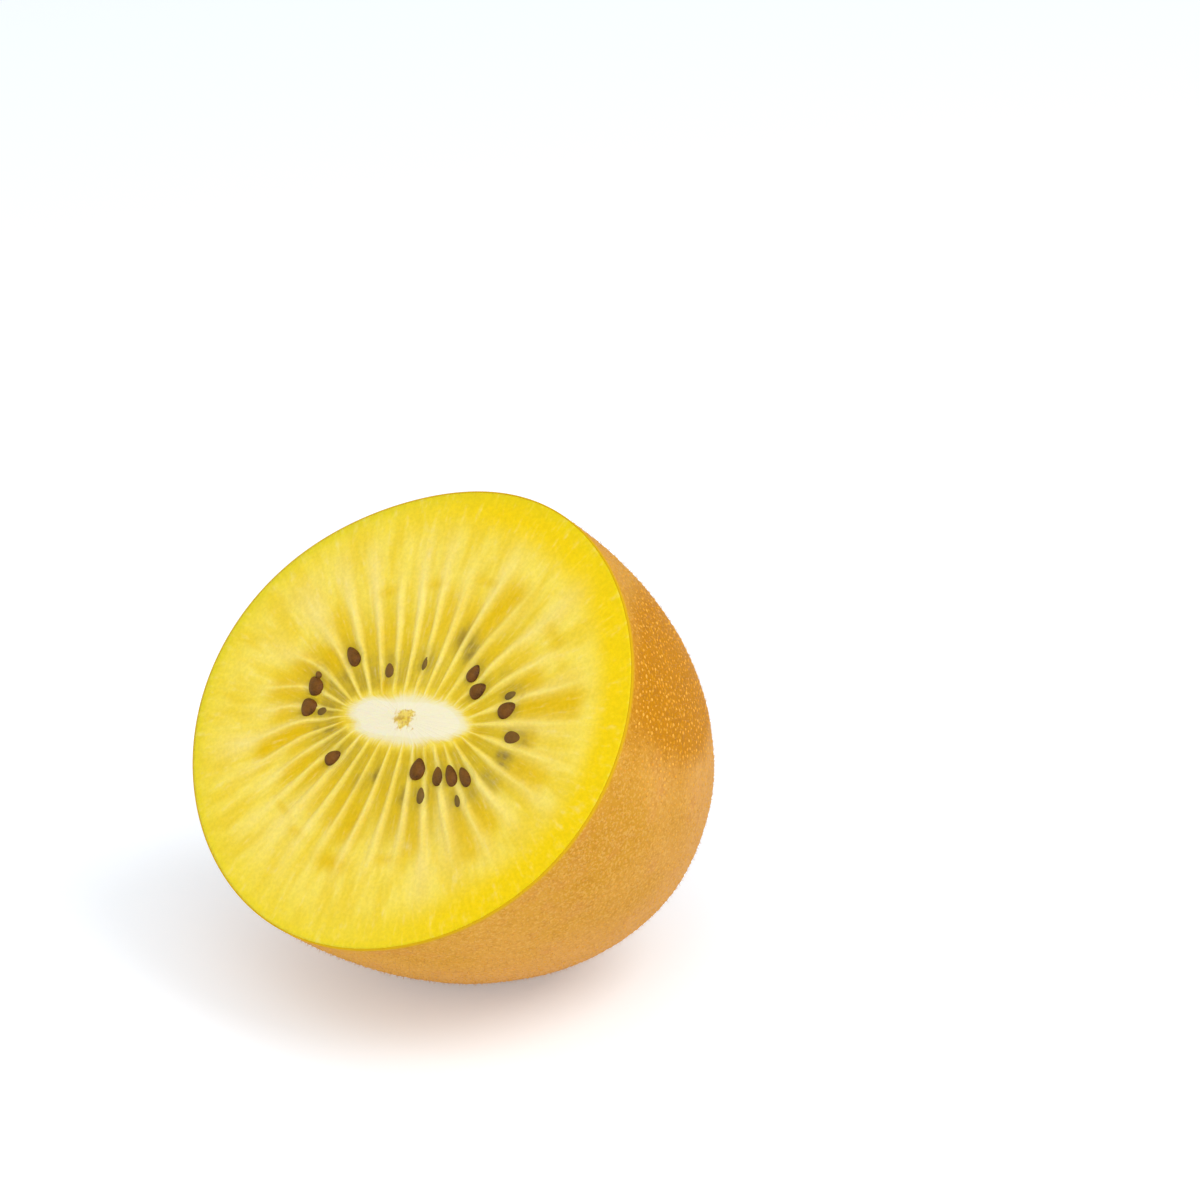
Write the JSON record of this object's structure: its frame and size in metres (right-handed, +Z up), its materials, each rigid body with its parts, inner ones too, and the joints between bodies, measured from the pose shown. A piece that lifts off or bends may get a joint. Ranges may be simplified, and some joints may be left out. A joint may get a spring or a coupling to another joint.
{
  "type": "golden kiwi fruit half",
  "caption": "Half of a golden kiwi fruit cut across its middle, with rayed yellow flesh, white core and dark seeds in thin brown skin, lying tilted on a small flat spot.",
  "frame": {"origin": "centre of the small flat spot of skin that the half rests on", "axes": "+Z up as it rests, +X level along the cut face, the cut face tilted up towards -Y and the stem end towards +Y"},
  "size_m": [0.0547, 0.0494, 0.0508],
  "materials": {
    "skin": "thin golden brown fruit skin, matte, with fine pale specks and a short down",
    "flesh": "moist cut fruit flesh, golden yellow with paler rays",
    "core": "soft white fruit core",
    "seed": "dark brown seed coat, satin",
    "scar": "dry woody stem scar"
  },
  "bodies": {
    "root": {"kiwi_half": "skin"}
  },
  "joints": []
}
